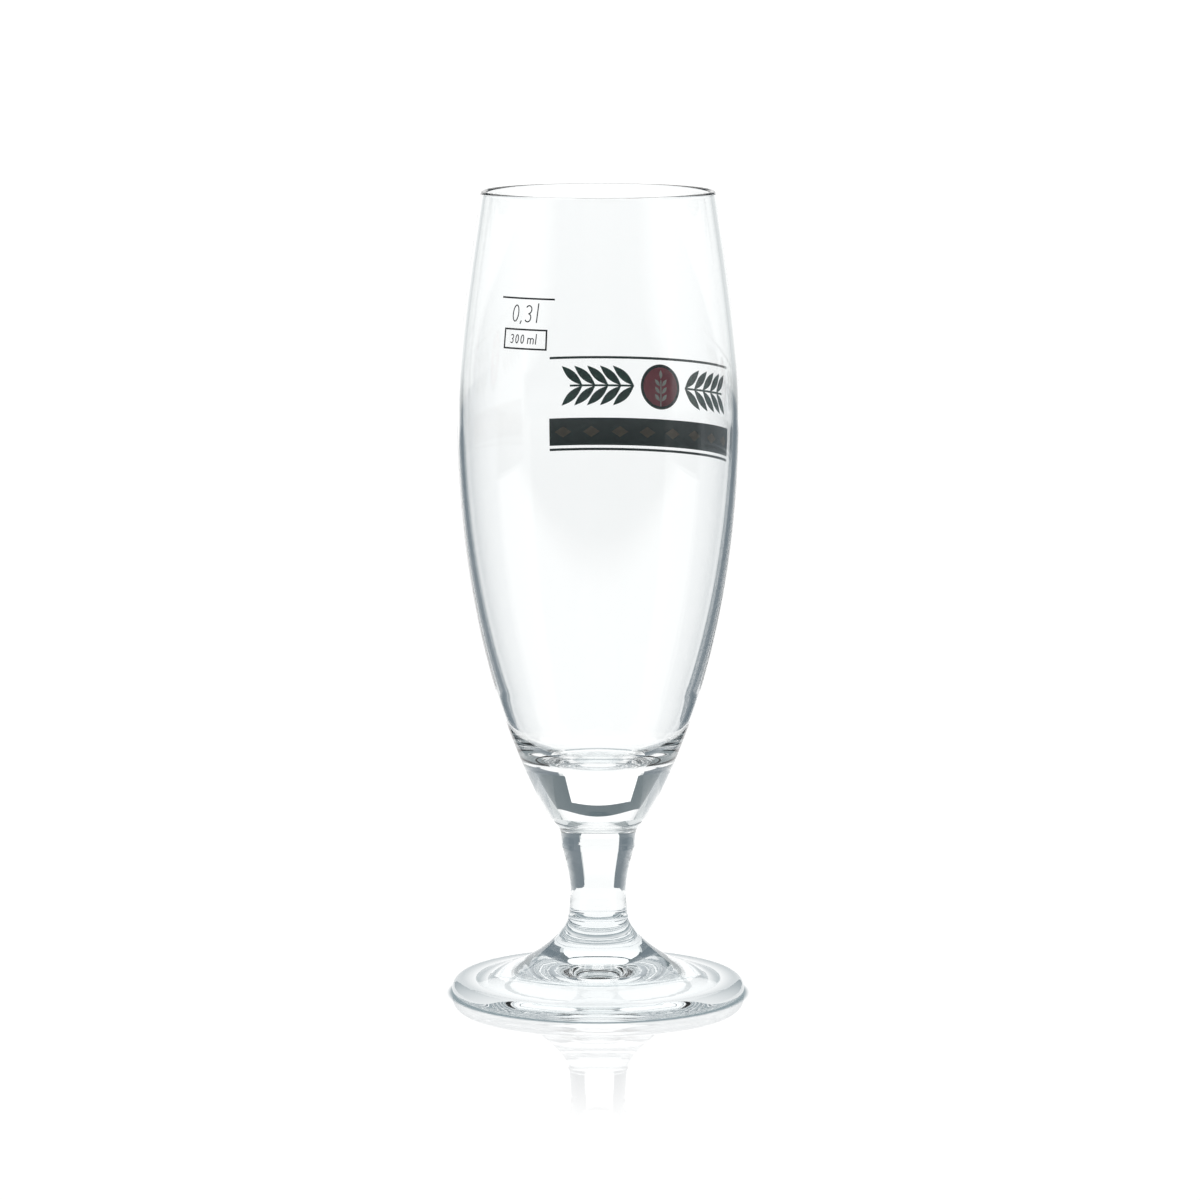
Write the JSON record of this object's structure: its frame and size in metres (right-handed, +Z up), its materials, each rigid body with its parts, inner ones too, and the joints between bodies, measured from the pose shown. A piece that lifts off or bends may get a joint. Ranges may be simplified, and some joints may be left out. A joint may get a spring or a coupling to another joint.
{
  "type": "pilsner glass",
  "caption": "Footed pilsner glass: tall tulip bowl narrowing to the mouth, thick floor, short waisted stem, round disc foot, enamel fill mark and rear ornament.",
  "frame": {"origin": "middle of the plane that the foot stands on", "axes": "+Z up along the axis of the glass, -Y towards the front, +X to the right as seen from the front"},
  "size_m": [0.0714, 0.0714, 0.196],
  "materials": {
    "bowl_glass": "fire polished",
    "stem_glass": "fire polished, faint mould ripple",
    "foot_glass": "fire polished, faint mould ripple",
    "black_enamel": "screen printed and fired",
    "dark_green_enamel": "screen printed and fired",
    "green_enamel": "screen printed and fired",
    "tan_enamel": "screen printed and fired",
    "red_enamel": "screen printed and fired",
    "white_enamel": "screen printed and fired"
  },
  "bodies": {
    "root": {"bowl": "bowl_glass", "stem": "stem_glass", "foot": "foot_glass", "fill_line": "black_enamel", "capacity_figures": "black_enamel", "capacity_frame": "black_enamel", "pinstripes": "dark_green_enamel", "band": "dark_green_enamel", "band_lozenges": "tan_enamel", "garland": "green_enamel", "medallion_outline": "dark_green_enamel", "medallion_field": "red_enamel", "medallion_ear": "white_enamel"}
  },
  "joints": []
}
